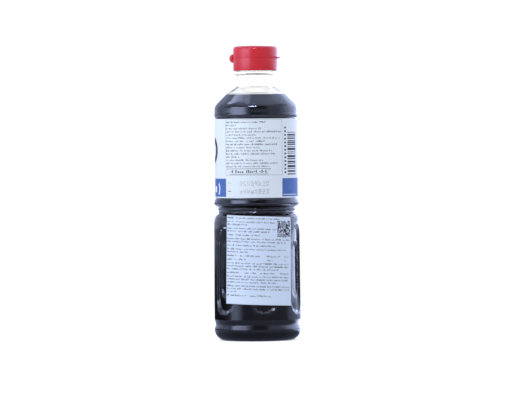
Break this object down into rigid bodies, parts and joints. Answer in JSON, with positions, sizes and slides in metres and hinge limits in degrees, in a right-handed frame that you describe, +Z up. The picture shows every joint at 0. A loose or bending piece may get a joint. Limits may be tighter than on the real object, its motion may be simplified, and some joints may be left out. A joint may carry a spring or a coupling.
{
  "type": "tsuyu sauce bottle",
  "caption": "Half-litre clear plastic bottle of dark soup sauce with a red flip-top cap, a wrap-round label, a back sticker and recessed grip panels",
  "frame": {"origin": "centre of the base, on the surface the bottle stands on", "axes": "+Z up along the bottle's axis; -Y towards the side with the small print and the sticker"},
  "size_m": [0.064, 0.064, 0.2185],
  "materials": {
    "clear_plastic": "clear, smooth and glossy PET",
    "sauce": "near-black brown liquid, wet and glossy",
    "red_plastic": "smooth glossy moulded plastic",
    "label_film": "white printed film with a blue band, satin",
    "sticker_paper": "pale printed paper, satin"
  },
  "bodies": {
    "root": {"bottle": "clear_plastic", "sauce": "sauce", "cap_base": "red_plastic", "cap_lid": "red_plastic", "wrap_label": "label_film", "back_sticker": "sticker_paper"}
  },
  "joints": []
}
